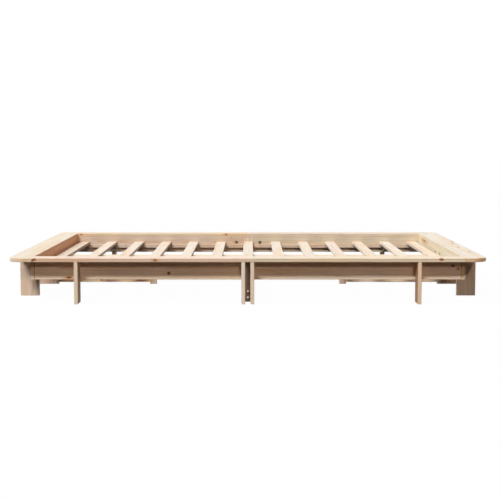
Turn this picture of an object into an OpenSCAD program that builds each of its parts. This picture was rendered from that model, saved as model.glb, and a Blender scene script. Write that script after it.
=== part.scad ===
// Low slatted bed frame in solid pine, taken apart and put together with bolts, dowels and screws.
// X runs along the bed, Y across it, Z up. The origin is on the floor under the middle of the bed.

/* [Mattress well] */
// Inside length of the well between the two end panels
well_l = 2010; // [1900:5:2200]
// Inside width of the well between the two long panels
well_w = 1410; // [1000:5:1700]

/* [Boards] */
// Thickness of the boards
board_t = 18; // [16:0.5:22]
// How far the rim and the legs stand out past the panels
overhang = 92; // [80:1:110]
// Radius along the edges of the boards
edge_r = 2; // [1:0.25:3]
// Radius of the rim's four corners, seen from above
corner_r = 75; // [50:1:95]

/* [Heights] */
// Height of the bed's rim above the floor
bed_h = 214; // [206:1:250]
// Height of the upright panels under the rim
panel_h = 91; // [88:1:100]
// Depth of the well, from the top of the rim to the slats
well_depth = 48; // [43:1:52]

/* [Slats] */
// Thickness of a slat
slat_t = 15; // [13:0.5:18]
// Width of a slat
slat_w = 54; // [40:1:70]
// Gap between an end panel and the slat next to it
slat_end_gap = 18; // [10:1:60]
// Gap between a slat's end and the panel
slat_gap = 1; // [0.5:0.25:3]

/* [Supports] */
// Height and depth of the battens that the slats' ends lie on
batten = 20; // [18:1:24]
// Width of the planks that lie flat under the middle of the slats
plank_w = 92; // [80:1:110]
// Height of the upright beam under the planks
beam_h = 72; // [66:1:80]
// Length of the laps where the halves of the beam and the planks meet
lap_l = 60; // [50:2:90]
// Height of the low rails' lower edge above the floor
rail_lift = 10; // [6:1:14]
// Width of a leg under the beam
centre_leg_w = 36; // [34:1:50]
// Width of the posts at the middle of each side
post_w = 24; // [20:1:30]

/* [Legs] */
// Distance from the end of the bed to the outer legs on its long sides
side_leg_in = 309; // [250:1:400]
// Distance from the long edge of the bed to the outer legs on its ends
end_leg_in = 320; // [250:1:400]

/* [Bolts] */
// Diameter of the bolts and studs
bolt_d = 6; // [5:0.5:6]
// Diameter of a bolt's head
bolt_head_d = 12; // [10:0.5:13]
// Height of a bolt's head
bolt_head_h = 3.5; // [2.5:0.25:4]
// Width across the flats of the hexagon in a bolt's head
socket_af = 4; // [3:0.5:4]
// Metal left under the hexagon in a bolt's head
socket_web = 1; // [0.75:0.25:1.5]
// Distance from the end of a board to the barrel nut in it
barrel_in = 35; // [30:1:38]
// Diameter of a barrel nut
barrel_d = 10; // [9:0.5:12]
// Length of bolt past the middle of its barrel nut
bolt_past = 7; // [6:0.5:9]
// Wood left between a barrel nut and the far face of its board
barrel_web = 2; // [1:0.25:3]
// Distance from a bolt's middle up to the batten
bolt_drop = 10; // [8:0.5:11]
// Diameter of the round pockets for the middle joints
pocket_d = 20; // [19:0.5:22]
// Distance from the middle of the bed to a pocket in a long panel
pocket_x = 70; // [66:1:80]
// Distance from the end of the beam or of a low rail to its pocket
pocket_in = 40; // [36:1:60]
// Thickness of a half-moon washer at its middle
half_moon_t = 5.5; // [4:0.25:6]
// Width of a half-moon washer, along the depth of its pocket
half_moon_w = 10; // [8:0.5:11]
// Diameter of the head of a pocket bolt
pocket_head_d = 10; // [8:0.5:11]
// Height of the head of a pocket bolt
pocket_head_h = 4; // [3:0.25:4.5]
// Width across the flats of a nut
nut_af = 10; // [9:0.5:11]
// Thickness of a nut
nut_t = 5; // [4:0.5:6]
// Length of stud that stands out past its nut
stud_past = 2; // [1:0.5:4]

/* [Dowels and screws] */
// Diameter of the wooden dowels
dowel_d = 8; // [6:0.5:9]
// Length of the wooden dowels
dowel_l = 40; // [34:1:44]
// How deep a dowel sits in the face of a board
dowel_in = 12; // [10:0.5:13]
// How far the dowel in the top of an end post reaches into the end panel
post_dowel_up = 7; // [6:0.5:8]
// Height of the upper dowels above the slats' lower face
upper_dowel_up = 16; // [12:1:20]
// Height above the floor of the lower dowels through the posts
post_dowel_low = 38; // [32:1:44]
// Distance from the upper dowels through the posts up to the panel's lower edge
post_dowel_in = 15; // [10:1:20]
// Distance from the edges of the rim boards to the dowels in their ends
rim_dowel_in = 25; // [15:1:30]
// Diameter of the screws
screw_d = 4; // [3:0.25:5]
// Diameter of a screw's head
screw_head_d = 8; // [7:0.25:9]
// Length of the screws through the slats and battens
screw_l = 30; // [25:1:31]
// Length of the screws through the posts and the planks
long_screw_l = 60; // [54:1:66]
// Length of a screw's point
screw_tip_h = 4; // [3:0.5:6]
// Diameter of a screw at its very point
screw_point_d = 0.5; // [0.3:0.1:1]
// Distance from the edges of the cross rail to the screws in its ends
rail_screw_in = 11; // [9:0.5:14]
// Distance from the middle of a slat to the screw that holds the plank under it
plank_screw_off = 15; // [10:1:20]
// Room all round a bolt, a dowel, a screw or a nut in its bore
clearance = 0.1; // [0.05:0.05:0.2]
// How much farther a bore runs than its bolt or screw
bore_past = 1; // [0.5:0.25:2]

/* [Hidden] */
// Names of the separate pieces

// Places along the bed and across it, from its middle
inner_x = well_l / 2;
inner_y = well_w / 2;
panel_x = inner_x + board_t;
panel_y = inner_y + board_t;
outer_x = panel_x + overhang;
outer_y = panel_y + overhang;
mid_x = inner_x + board_t / 2;
mid_y = inner_y + board_t / 2;

// Heights above the floor
rim_z = bed_h - board_t;
panel_z = rim_z - panel_h;
slat_z = bed_h - well_depth - slat_t;
batten_z = slat_z - batten;
plank_z = slat_z - board_t;
beam_z = plank_z - beam_h;
rail_mid_z = (rail_lift + beam_z) / 2;

// Middle planes of the outer legs
side_leg_x = outer_x - side_leg_in - board_t / 2;
end_leg_y = outer_y - end_leg_in - board_t / 2;
centre_leg_x = inner_x / 2;
twin_x = post_w / 2;
twin_out_x = twin_x + board_t;
slats = 13;
slat_pitch = (well_l - 2 * slat_end_gap - slat_w) / (slats - 1);

// Heights of the bolts and dowels in the panels
bolt_z = batten_z - bolt_drop;
upper_dowel_z = slat_z + upper_dowel_up;
stud_z = slat_z + pocket_d / 2;
beam_bolt_z = (panel_z + plank_z) / 2;
post_dowel_z = [post_dowel_low, panel_z - post_dowel_in];

// Parts of the fasteners
half_moon_chord = pocket_d / 2 - clearance - half_moon_t;
pocket_depth = board_t / 2 + half_moon_w / 2 + clearance;
stud_half = pocket_x - half_moon_chord + nut_t + stud_past;
bolt_l = board_t + barrel_in + bolt_past;
pocket_bolt_l = pocket_in - half_moon_chord + bolt_l;
barrel_l = board_t - 2 * barrel_web;
barrel_bore = board_t - barrel_web;
screw_head_h = (screw_head_d - screw_d) / 2;
// Screws along a batten, in slat pitches, and slats that hide a plank's screws, from the middle one
batten_screws = [0.5, 2.5, 4.5, 5.75];
plank_screws = [0, 2, 5];
// Dowels along a panel and along a low rail, as shares of the length from the middle of the bed
panel_dowels = [0.15, 0.52, 0.88];
end_panel_dowels = [0.25, 0.85];
rail_dowels = [0.65, 0.85];
$fn = 32;

// A bore starts at a point, runs along a direction and has a length and a diameter
function bore(p, dir, l, d) = [p, dir, l, d];
function low_corner(b) =
    [for (i = [0:2]) min(b[0][i], b[0][i] + b[1][i] * b[2]) - (b[1][i] == 0 ? b[3] / 2 : 0)];
function high_corner(b) =
    [for (i = [0:2]) max(b[0][i], b[0][i] + b[1][i] * b[2]) + (b[1][i] == 0 ? b[3] / 2 : 0)];
function below(a, b) = a[0] < b[0] && a[1] < b[1] && a[2] < b[2];
function meets(b, lo, hi) = below(low_corner(b), hi) && below(lo, high_corner(b));

// Each bolt is the point under its head and its direction
side_leg_bolts = [for (sx = [-1, 1], sy = [-1, 1]) [[sx * side_leg_x, sy * inner_y, bolt_z], [0, sy, 0]]];
end_leg_bolts = [for (sx = [-1, 1], sy = [-1, 1]) [[sx * inner_x, sy * end_leg_y, bolt_z], [sx, 0, 0]]];
corner_bolts = [for (sx = [-1, 1], sy = [-1, 1]) [[sx * panel_x, sy * mid_y, bolt_z], [-sx, 0, 0]]];
all_bolts = concat(side_leg_bolts, end_leg_bolts, corner_bolts);

// Each pocket bolt is the middle of its pocket and its direction
pocket_bolt_places =
    [for (sx = [-1, 1], z = [beam_bolt_z, rail_mid_z]) [[sx * (inner_x - pocket_in), 0, z], [sx, 0, 0]]];

// Each barrel nut is the point where its bore opens and the direction of the bore
barrel_y = panel_y + barrel_in;
barrel_x = panel_x + barrel_in;
barrels = concat(
    [for (sx = [-1, 1], sy = [-1, 1])
        [[sx * (side_leg_x + board_t / 2), sy * barrel_y, bolt_z], [-sx, 0, 0]]],
    [for (sx = [-1, 1], sy = [-1, 1])
        [[sx * barrel_x, sy * (end_leg_y + board_t / 2), bolt_z], [0, -sy, 0]]],
    [for (sx = [-1, 1], sy = [-1, 1]) [[sx * (inner_x - barrel_in), sy * inner_y, bolt_z], [0, sy, 0]]],
    [for (sx = [-1, 1], z = [beam_bolt_z, rail_mid_z]) [[sx * barrel_x, board_t / 2, z], [0, -1, 0]]]
);

// Each dowel is the end of it that lies in the face of a board, and its direction
leg_tops = concat(
    [for (sx = [-1, 1], sy = [-1, 1]) [sx * side_leg_x, sy * (outer_y - overhang / 2)]],
    [for (sx = [-1, 1], sy = [-1, 1]) [sx * (outer_x - overhang / 2), sy * end_leg_y]],
    [for (sx = [-1, 1]) [sx * (outer_x - overhang / 2), 0]],
    [for (sx = [-1, 1], sy = [-1, 1]) [sx * (twin_x + board_t / 2), sy * (outer_y - overhang / 2)]]
);
panel_tops = concat(
    [for (sx = [-1, 1], sy = [-1, 1], x = panel_dowels) [sx * x * inner_x, sy * mid_y]],
    [for (sx = [-1, 1], sy = [-1, 1], k = end_panel_dowels) [sx * mid_x, sy * k * inner_y]]
);
dowel_places = concat(
    [for (p = concat(leg_tops, panel_tops)) [[p[0], p[1], rim_z + dowel_in], [0, 0, -1]]],
    [for (sx = [-1, 1], sy = [-1, 1])
        [[sx * side_leg_x, sy * (panel_y - dowel_in), upper_dowel_z], [0, sy, 0]]],
    [for (sx = [-1, 1], y = [-1, 0, 1])
        [[sx * (panel_x - dowel_in), y * end_leg_y, upper_dowel_z], [sx, 0, 0]]],
    [for (sx = [-1, 1], sy = [-1, 1]) [[sx * (inner_x + dowel_in), sy * mid_y, upper_dowel_z], [-sx, 0, 0]]],
    [for (sx = [-1, 1], sy = [-1, 1]) [[sx * (twin_out_x - dowel_in), sy * mid_y, bolt_z], [sx, 0, 0]]],
    [for (sy = [-1, 1], z = post_dowel_z) [[-dowel_l / 2, sy * mid_y, z], [1, 0, 0]]],
    [for (sx = [-1, 1]) [[sx * mid_x, 0, panel_z + post_dowel_up], [0, 0, -1]]],
    [for (sx = [-1, 1]) [[sx * (centre_leg_x + centre_leg_w / 2 - dowel_in), 0, rail_mid_z], [sx, 0, 0]]],
    [for (sx = [-1, 1], x = concat(centre_leg_x, rail_dowels * inner_x))
        [[sx * x, 0, beam_z + dowel_in], [0, 0, -1]]],
    [for (x = [-inner_x, 0, inner_x], sy = [-1, 1], y = [inner_y + rim_dowel_in, outer_y - rim_dowel_in])
        [[x - dowel_l / 2, sy * y, rim_z + board_t / 2], [1, 0, 0]]]
);

// Each screw is the middle of its head, its direction and its length
function slat_x(i) = (i - (slats + 1) / 2) * slat_pitch;
screw_places = concat(
    [for (i = [1:slats], k = [-1, 0, 1])
        [[slat_x(i), k * (inner_y - batten / 2), slat_z + slat_t], [0, 0, -1], screw_l]],
    [for (sx = [-1, 1], sy = [-1, 1], k = batten_screws)
        [[sx * k * slat_pitch, sy * (inner_y - batten), batten_z + batten / 2], [0, sy, 0], screw_l]],
    [for (sy = [-1, 1], z = [rail_lift + rail_screw_in, beam_z - rail_screw_in])
        [[0, sy * panel_y, z], [0, -sy, 0], long_screw_l]],
    [for (sx = [-1, 1], k = plank_screws)
        [[sx * (k * slat_pitch + plank_screw_off), 0, slat_z], [0, 0, -1], long_screw_l]]
);

// Every straight bore in the bed, and the least overlap that lets a cut break through a face
room = 2 * clearance;
skim = clearance / 10;
bores = concat(
    [for (b = all_bolts) bore(b[0], b[1], bolt_l + bore_past, bolt_d + room)],
    [for (b = pocket_bolt_places) bore(b[0], b[1], pocket_in + bolt_l + bore_past, bolt_d + room)],
    [for (b = barrels) bore(b[0], b[1], barrel_bore, barrel_d + room)],
    [for (b = pocket_bolt_places) bore([b[0][0], board_t / 2, b[0][2]], [0, -1, 0], pocket_depth, pocket_d)],
    [for (sx = [-1, 1], sy = [-1, 1])
        bore([sx * pocket_x, sy * inner_y, stud_z], [0, sy, 0], pocket_depth, pocket_d)],
    [for (sy = [-1, 1]) bore([-pocket_x, sy * mid_y, stud_z], [1, 0, 0], 2 * pocket_x, bolt_d + room)],
    [for (d = dowel_places) bore(d[0] - d[1] * clearance, d[1], dowel_l + room, dowel_d + room)],
    [for (s = screw_places) bore(s[0], s[1], s[2] + bore_past, screw_d + room)]
);
sinks = [for (s = screw_places) bore(s[0], s[1], screw_head_h, screw_head_d)];

// Turns what stands on Z so that it points along a direction
module aim(dir) {
    rotate(dir[0] != 0 ? [0, 90 * dir[0], 0] :
        dir[1] != 0 ? [-90 * dir[1], 0, 0] : [dir[2] < 0 ? 180 : 0, 0, 0])
        children();
}

// Straight bores and countersinks that reach into the box from lo to hi
module bores_in(lo, hi) {
    for (b = bores)
        if (meets(b, lo, hi))
            translate(b[0] - b[1] * skim) aim(b[1]) cylinder(h = b[2] + skim, d = b[3]);
    for (s = sinks)
        if (meets(s, lo, hi))
            translate(s[0] - s[1] * skim) aim(s[1])
                cylinder(h = s[2] + room, d1 = s[3] + room, d2 = s[3] - 2 * s[2]);
}

// Rectangle with round corners
module round_rect(w, h, r) {
    translate([r, 0]) square([w - 2 * r, h]);
    translate([0, r]) square([w, h - 2 * r]);
    for (x = [r, w - r], y = [r, h - r])
        translate([x, y]) circle(r);
}

// Bar from lo to hi with its long edges rounded, running along X, Y or Z
module bar(lo, hi, along) {
    s = hi - lo;
    translate(lo) {
        if (along == 0)
            rotate([90, 0, 90]) linear_extrude(s[0]) round_rect(s[1], s[2], edge_r);
        if (along == 1)
            translate([0, s[1], 0]) rotate([90, 0, 0]) linear_extrude(s[1]) round_rect(s[0], s[2], edge_r);
        if (along == 2)
            linear_extrude(s[2]) round_rect(s[0], s[1], edge_r);
    }
}

// Board sawn square at its ends, with its long edges rounded and its bores drilled
module board(lo, hi, along) {
    difference() {
        bar(lo, hi, along);
        bores_in(lo, hi);
    }
}

// Board with every edge rounded, as on the legs and the slats
module eased_board(lo, hi) {
    difference() {
        intersection() {
            bar(lo, hi, 0);
            bar(lo, hi, 1);
            bar(lo, hi, 2);
        }
        bores_in(lo, hi);
    }
}

// Box on the given side of the middle: sx and sy are -1 or 1
function side_lo(sx, sy, a, b) =
    [min(sx * a[0], sx * b[0]), min(sy * a[1], sy * b[1]), a[2]];
function side_hi(sx, sy, a, b) =
    [max(sx * a[0], sx * b[0]), max(sy * a[1], sy * b[1]), b[2]];
module board_on(sx, sy, a, b, along) {
    board(side_lo(sx, sy, a, b), side_hi(sx, sy, a, b), along);
}
module eased_board_on(sx, sy, a, b) {
    eased_board(side_lo(sx, sy, a, b), side_hi(sx, sy, a, b));
}

// Half of a long rim board
module rim_long(sx, sy) {
    color([0.95, 0.88, 0.79])
        board_on(sx, sy, [0, inner_y, rim_z], [inner_x, outer_y, bed_h], 0);
}

// Rim board across an end, with a round corner at each of its outer corners
module rim_end(sx) {
    straight = outer_y - corner_r;
    color([0.94, 0.87, 0.77])
        difference() {
            mirror([sx < 0 ? 1 : 0, 0, 0]) {
                bar([inner_x, -straight, rim_z], [outer_x, straight, bed_h], 1);
                for (sy = [0, 1])
                    mirror([0, sy, 0]) {
                        translate([inner_x, 0, rim_z])
                            rotate([90, 0, 90]) linear_extrude(overhang + board_t - corner_r)
                                translate([straight - corner_r, 0]) round_rect(2 * corner_r, board_t, edge_r);
                        translate([outer_x - corner_r, straight, rim_z])
                            rotate_extrude(angle = 90) {
                                square([corner_r - edge_r, board_t]);
                                translate([0, edge_r]) square([corner_r, board_t - 2 * edge_r]);
                                for (z = [edge_r, board_t - edge_r])
                                    translate([corner_r - edge_r, z]) circle(edge_r);
                            }
                    }
            }
            bores_in([sx < 0 ? -outer_x : inner_x, -outer_y, rim_z],
                [sx < 0 ? -inner_x : outer_x, outer_y, bed_h]);
        }
}

// Half of a long panel, between the end panel and the twin leg
module panel_long(sx, sy) {
    color([0.84, 0.73, 0.60])
        board_on(sx, sy, [twin_out_x, inner_y, panel_z], [inner_x, panel_y, rim_z], 0);
}

// Panel across an end, past the ends of the long panels
module panel_end(sx) {
    color([0.83, 0.71, 0.58])
        board_on(sx, 1, [inner_x, -panel_y, panel_z], [panel_x, panel_y, rim_z], 1);
}

// Outer leg of a long side
module side_leg(sx, sy) {
    color([0.86, 0.76, 0.64])
        eased_board_on(sx, sy, [side_leg_x - board_t / 2, panel_y, 0],
            [side_leg_x + board_t / 2, outer_y, rim_z]);
}

// Leg of an end: y is the place of its middle plane
module end_leg(sx, y) {
    color([0.84, 0.74, 0.62])
        eased_board_on(sx, 1, [panel_x, y - board_t / 2, 0], [outer_x, y + board_t / 2, rim_z]);
}

// One of the twin legs at the middle of a long side, as deep as the rim is wide
module twin_leg(sx, sy) {
    color([0.87, 0.78, 0.66])
        eased_board_on(sx, sy, [twin_x, inner_y, 0], [twin_out_x, outer_y, rim_z]);
}

// Post between the twin legs, in line with the panels
module post(sy) {
    color([0.80, 0.69, 0.56])
        board_on(1, sy, [-twin_x, inner_y, 0], [twin_x, panel_y, rim_z], 2);
}

// Post under the middle of an end panel
module end_post(sx) {
    color([0.80, 0.69, 0.56])
        board_on(sx, 1, [inner_x, -twin_x, 0], [panel_x, twin_x, panel_z], 2);
}

// Batten along a long panel, from end to end
module side_batten(sy) {
    reach = inner_x - slat_gap;
    color([0.88, 0.78, 0.66])
        board_on(1, sy, [-reach, inner_y - batten, batten_z], [reach, inner_y, slat_z], 0);
}

// Board from the lap at the middle of the bed to an end: sx is -1 for the one whose tongue lies below
module lapped_board(sx, w, low_z, high_z) {
    lo = side_lo(sx, 1, [-lap_l / 2, -w / 2, low_z], [inner_x, w / 2, high_z]);
    hi = side_hi(sx, 1, [-lap_l / 2, -w / 2, low_z], [inner_x, w / 2, high_z]);
    half_h = (high_z - low_z) / 2;
    notch_z = sx < 0 ? low_z + half_h : low_z - half_h;
    difference() {
        board(lo, hi, 0);
        translate([-lap_l / 2, -w, notch_z])
            cube([lap_l, 2 * w, 2 * half_h]);
    }
}

// Plank that lies flat on half of the beam, right under the slats
module plank(sx) {
    color([0.92, 0.84, 0.74])
        lapped_board(sx, plank_w, plank_z, slat_z);
}

// Upright half of the beam under the planks
module beam(sx) {
    color([0.90, 0.81, 0.70])
        lapped_board(sx, board_t, beam_z, plank_z);
}

// Leg under the middle of half the beam, flush with it
module centre_leg(sx) {
    half = centre_leg_w / 2;
    color([0.86, 0.76, 0.64])
        eased_board_on(sx, 1, [centre_leg_x - half, -board_t / 2, 0],
            [centre_leg_x + half, board_t / 2, beam_z]);
}

// Low rail from the centre leg to the end post, right under the beam
module low_rail(sx) {
    color([0.83, 0.72, 0.58])
        board_on(sx, 1, [centre_leg_x + centre_leg_w / 2, -board_t / 2, rail_lift],
            [inner_x, board_t / 2, beam_z], 0);
}

// Low rail across the bed, from post to post, that the beam's lap lies on
module cross_rail() {
    color([0.82, 0.71, 0.57])
        board([-twin_x, -inner_y, rail_lift], [twin_x, inner_y, beam_z], 1);
}

// Slat across the bed, counted from the left end
module slat(i) {
    half = slat_w / 2;
    reach = inner_y - slat_gap;
    color([0.97, 0.90, 0.82])
        eased_board([slat_x(i) - half, -reach, slat_z], [slat_x(i) + half, reach, slat_z + slat_t]);
}

// Bolts with a low round head and a hexagon socket
module bolts() {
    color([0.72, 0.70, 0.66])
        for (b = all_bolts)
            translate(b[0]) aim(b[1])
                difference() {
                    union() {
                        cylinder(h = bolt_l, d = bolt_d);
                        translate([0, 0, -bolt_head_h])
                            cylinder(h = bolt_head_h, d1 = bolt_head_d - bolt_head_h, d2 = bolt_head_d);
                    }
                    translate([0, 0, -bolt_head_h - socket_web])
                        cylinder(h = bolt_head_h, d = socket_af / cos(30), $fn = 6);
                }
}

// Washer that fills the side of a pocket next to the joint, with its flat side to the nut or head
module half_moon() {
    r = pocket_d / 2 - clearance;
    difference() {
        intersection() {
            rotate([90, 0, 0]) cylinder(h = half_moon_w, r = r, center = true);
            translate([-r, -r, half_moon_chord]) cube([2 * r, 2 * r, r]);
        }
        cylinder(h = pocket_d, d = bolt_d + room);
    }
}

// Bolts from the pockets in the beam and the low rails into the middle leg of each end
module pocket_bolts() {
    color([0.72, 0.70, 0.66])
        for (b = pocket_bolt_places)
            translate(b[0]) aim(b[1]) {
                half_moon();
                translate([0, 0, half_moon_chord - clearance])
                    difference() {
                        union() {
                            cylinder(h = pocket_bolt_l, d = bolt_d);
                            translate([0, 0, -pocket_head_h]) cylinder(h = pocket_head_h, d = pocket_head_d);
                        }
                        translate([0, 0, -pocket_head_h - socket_web])
                            cylinder(h = pocket_head_h, d = socket_af / cos(30), $fn = 6);
                    }
            }
}

// Studs that draw the halves of a long panel, the twin legs and the post together
module middle_studs() {
    color([0.70, 0.69, 0.66])
        for (sy = [-1, 1])
            translate([0, sy * mid_y, stud_z]) {
                rotate([0, 90, 0]) cylinder(h = 2 * stud_half, d = bolt_d, center = true);
                for (sx = [-1, 1])
                    translate([sx * pocket_x, 0, 0]) aim([-sx, 0, 0]) {
                        half_moon();
                        translate([0, 0, half_moon_chord - clearance - nut_t])
                            difference() {
                                cylinder(h = nut_t, d = nut_af / cos(30), $fn = 6);
                                translate([0, 0, -nut_t]) cylinder(h = 3 * nut_t, d = bolt_d + room);
                            }
                    }
            }
}

// Round nuts that lie across the bolts, each with its cross hole
module barrel_nuts() {
    color([0.74, 0.71, 0.64])
        difference() {
            for (b = barrels)
                translate(b[0] + b[1] * (board_t - barrel_l) / 2) aim(b[1])
                    cylinder(h = barrel_l, d = barrel_d);
            for (b = concat(all_bolts, pocket_bolt_places))
                translate(b[0]) aim(b[1])
                    cylinder(h = pocket_bolt_l + pocket_in, d = bolt_d + room);
        }
}

// Wooden dowels with bevelled ends
module dowels() {
    bevel = dowel_d / 8;
    color([0.86, 0.74, 0.58])
        for (d = dowel_places)
            translate(d[0]) aim(d[1]) {
                cylinder(h = bevel, d1 = dowel_d - 2 * bevel, d2 = dowel_d);
                translate([0, 0, bevel]) cylinder(h = dowel_l - 2 * bevel, d = dowel_d);
                translate([0, 0, dowel_l - bevel])
                    cylinder(h = bevel, d1 = dowel_d, d2 = dowel_d - 2 * bevel);
            }
}

// Countersunk screws, plain in the shank
module screws() {
    color([0.78, 0.75, 0.68])
        for (s = screw_places)
            translate(s[0] + s[1] * clearance) aim(s[1]) {
                cylinder(h = screw_head_h, d1 = screw_head_d, d2 = screw_d);
                translate([0, 0, screw_head_h]) cylinder(h = s[2] - screw_head_h - screw_tip_h, d = screw_d);
                translate([0, 0, s[2] - screw_tip_h])
                    cylinder(h = screw_tip_h, d1 = screw_d, d2 = screw_point_d);
            }
}

rim_long(-1, -1);  // rim_front_left
rim_long(1, -1);  // rim_front_right
rim_long(-1, 1);  // rim_back_left
rim_long(1, 1);  // rim_back_right
rim_end(-1);  // rim_left_end
rim_end(1);  // rim_right_end
panel_long(-1, -1);  // panel_front_left
panel_long(1, -1);  // panel_front_right
panel_long(-1, 1);  // panel_back_left
panel_long(1, 1);  // panel_back_right
panel_end(-1);  // panel_left_end
panel_end(1);  // panel_right_end
side_leg(-1, -1);  // side_leg_front_left
side_leg(1, -1);  // side_leg_front_right
side_leg(-1, 1);  // side_leg_back_left
side_leg(1, 1);  // side_leg_back_right
end_leg(-1, -end_leg_y);  // end_leg_front_left
end_leg(1, -end_leg_y);  // end_leg_front_right
end_leg(-1, end_leg_y);  // end_leg_back_left
end_leg(1, end_leg_y);  // end_leg_back_right
end_leg(-1, 0);  // end_leg_middle_left
end_leg(1, 0);  // end_leg_middle_right
twin_leg(-1, -1);  // twin_leg_front_left
twin_leg(1, -1);  // twin_leg_front_right
twin_leg(-1, 1);  // twin_leg_back_left
twin_leg(1, 1);  // twin_leg_back_right
post(-1);  // post_front
post(1);  // post_back
end_post(-1);  // post_left_end
end_post(1);  // post_right_end
side_batten(-1);  // batten_front
side_batten(1);  // batten_back
plank(-1);  // plank_left
plank(1);  // plank_right
beam(-1);  // beam_left
beam(1);  // beam_right
centre_leg(-1);  // centre_leg_left
centre_leg(1);  // centre_leg_right
low_rail(-1);  // low_rail_left
low_rail(1);  // low_rail_right
cross_rail();
slat(1);  // slat_01
slat(2);  // slat_02
slat(3);  // slat_03
slat(4);  // slat_04
slat(5);  // slat_05
slat(6);  // slat_06
slat(7);  // slat_07
slat(8);  // slat_08
slat(9);  // slat_09
slat(10);  // slat_10
slat(11);  // slat_11
slat(12);  // slat_12
slat(13);  // slat_13
bolts();
pocket_bolts();
middle_studs();
barrel_nuts();
dowels();
screws();
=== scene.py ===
"""Low slatted bed frame in solid pine: wood, metal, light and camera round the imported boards."""
import math

import bpy
import numpy as np
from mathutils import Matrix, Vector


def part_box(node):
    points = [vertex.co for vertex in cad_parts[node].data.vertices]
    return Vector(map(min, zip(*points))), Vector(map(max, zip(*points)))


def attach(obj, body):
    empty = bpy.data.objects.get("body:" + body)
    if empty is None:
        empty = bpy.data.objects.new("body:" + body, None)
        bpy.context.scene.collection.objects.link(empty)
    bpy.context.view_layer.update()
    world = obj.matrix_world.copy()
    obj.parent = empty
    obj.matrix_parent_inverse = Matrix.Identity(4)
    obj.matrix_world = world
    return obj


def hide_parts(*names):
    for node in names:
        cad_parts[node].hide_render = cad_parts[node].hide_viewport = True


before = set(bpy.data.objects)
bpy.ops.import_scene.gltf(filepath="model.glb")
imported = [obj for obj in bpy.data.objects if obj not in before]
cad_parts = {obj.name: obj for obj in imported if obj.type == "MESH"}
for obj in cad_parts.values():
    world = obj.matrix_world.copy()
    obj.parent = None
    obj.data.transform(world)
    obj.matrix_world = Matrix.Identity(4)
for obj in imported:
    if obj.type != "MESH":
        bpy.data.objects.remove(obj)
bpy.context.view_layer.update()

MM = 0.001
AXES = "xyz"
WHITE = (1.0, 1.0, 1.0, 1.0)
MID_GREY = (0.5, 0.5, 0.5)


def add(tree, kind, inputs=None, **settings):
    """Adds a node, sets its properties, and fills its inputs with values or links."""
    made = tree.nodes.new(kind)
    for key, value in settings.items():
        setattr(made, key, value)
    for key, value in (inputs or {}).items():
        if isinstance(value, bpy.types.NodeSocket):
            tree.links.new(value, made.inputs[key])
        else:
            made.inputs[key].default_value = value
    return made


def calc(tree, operation, *values):
    """One sum on numbers, such as MULTIPLY."""
    return add(tree, "ShaderNodeMath", dict(enumerate(values)), operation=operation).outputs[0]


def vec(tree, operation, *values, scale=None):
    """One sum on vectors: its answer is a number for a dot product or a length."""
    inputs = dict(enumerate(values))
    if scale is not None:
        inputs["Scale"] = scale
    made = add(tree, "ShaderNodeVectorMath", inputs, operation=operation)
    return made.outputs["Value" if operation in ("DOT_PRODUCT", "LENGTH") else "Vector"]


def split(tree, value):
    """The three numbers of a vector."""
    return add(tree, "ShaderNodeSeparateXYZ", {0: value}).outputs


def join(tree, x, y, z):
    """A vector from three numbers, or a grey from one number given three times."""
    return add(tree, "ShaderNodeCombineXYZ", {0: x, 1: y, 2: z}).outputs[0]


def ramp(tree, value, start, end, low=0.0, high=1.0):
    """Smooth step of a number from low at start to high at end."""
    inputs = {0: value, 1: start, 2: end, 3: low, 4: high}
    return add(tree, "ShaderNodeMapRange", inputs, interpolation_type="SMOOTHSTEP").outputs[0]


def mix(tree, share, first, second, blend="MIX"):
    """Mixes two colours, or multiplies a share of the second into the first."""
    inputs = {0: share, 6: first, 7: second}
    return add(tree, "ShaderNodeMix", inputs, data_type="RGBA", blend_type=blend).outputs[2]


def noise(tree, place, detail, rough=0.5, colour=False):
    """Soft noise read at a place that is already scaled."""
    inputs = {"Vector": place, "Scale": 1.0, "Detail": detail, "Roughness": rough}
    return add(tree, "ShaderNodeTexNoise", inputs).outputs["Color" if colour else "Fac"]


def group(name, inputs, outputs):
    """Makes an empty node group and returns it with its input and output sockets."""
    tree = bpy.data.node_groups.new(name, "ShaderNodeTree")
    kinds = {"v": "NodeSocketVector", "f": "NodeSocketFloat", "c": "NodeSocketColor"}
    for word, kind in inputs:
        tree.interface.new_socket(name=word, in_out="INPUT", socket_type=kinds[kind])
    for word, kind in outputs:
        tree.interface.new_socket(name=word, in_out="OUTPUT", socket_type=kinds[kind])
    return tree, tree.nodes.new("NodeGroupInput").outputs, tree.nodes.new("NodeGroupOutput").inputs


def empty_material(name):
    """A new material, and its node tree with nothing in it."""
    material = bpy.data.materials.new(name)
    material.use_nodes = True
    material.node_tree.nodes.clear()
    return material, material.node_tree


def new_object(name, data):
    """A new object in the scene."""
    made = bpy.data.objects.new(name, data)
    bpy.context.scene.collection.objects.link(made)
    return made


# The share of the way along its line that a knot's distance leaves out, which makes it longer
KNOT_LENGTHENING = 0.85
# How strongly the grain is pushed aside round a knot
KNOT_PUSH = 0.8
# How far in radians a sine wave runs from a knot's bark to its middle, which gives its own rings
KNOT_RINGS = 30.0
# Colours mixed into the wood, or multiplied into it
WARM_PATCH = (0.97, 0.87, 0.74, 1.0)
HEART_WOOD = (0.95, 0.80, 0.66, 1.0)
END_GRAIN = (0.90, 0.80, 0.68, 1.0)
EASED_EDGE = (0.93, 0.88, 0.82, 1.0)
RESIN = (0.66, 0.34, 0.12, 1.0)
KNOT_DARK = (0.23, 0.085, 0.045, 1.0)
KNOT_LIGHT = (0.38, 0.16, 0.08, 1.0)
KNOT_BARK = (0.10, 0.045, 0.028, 1.0)
JOINT_LINE = (0.30, 0.24, 0.20, 1.0)
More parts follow.
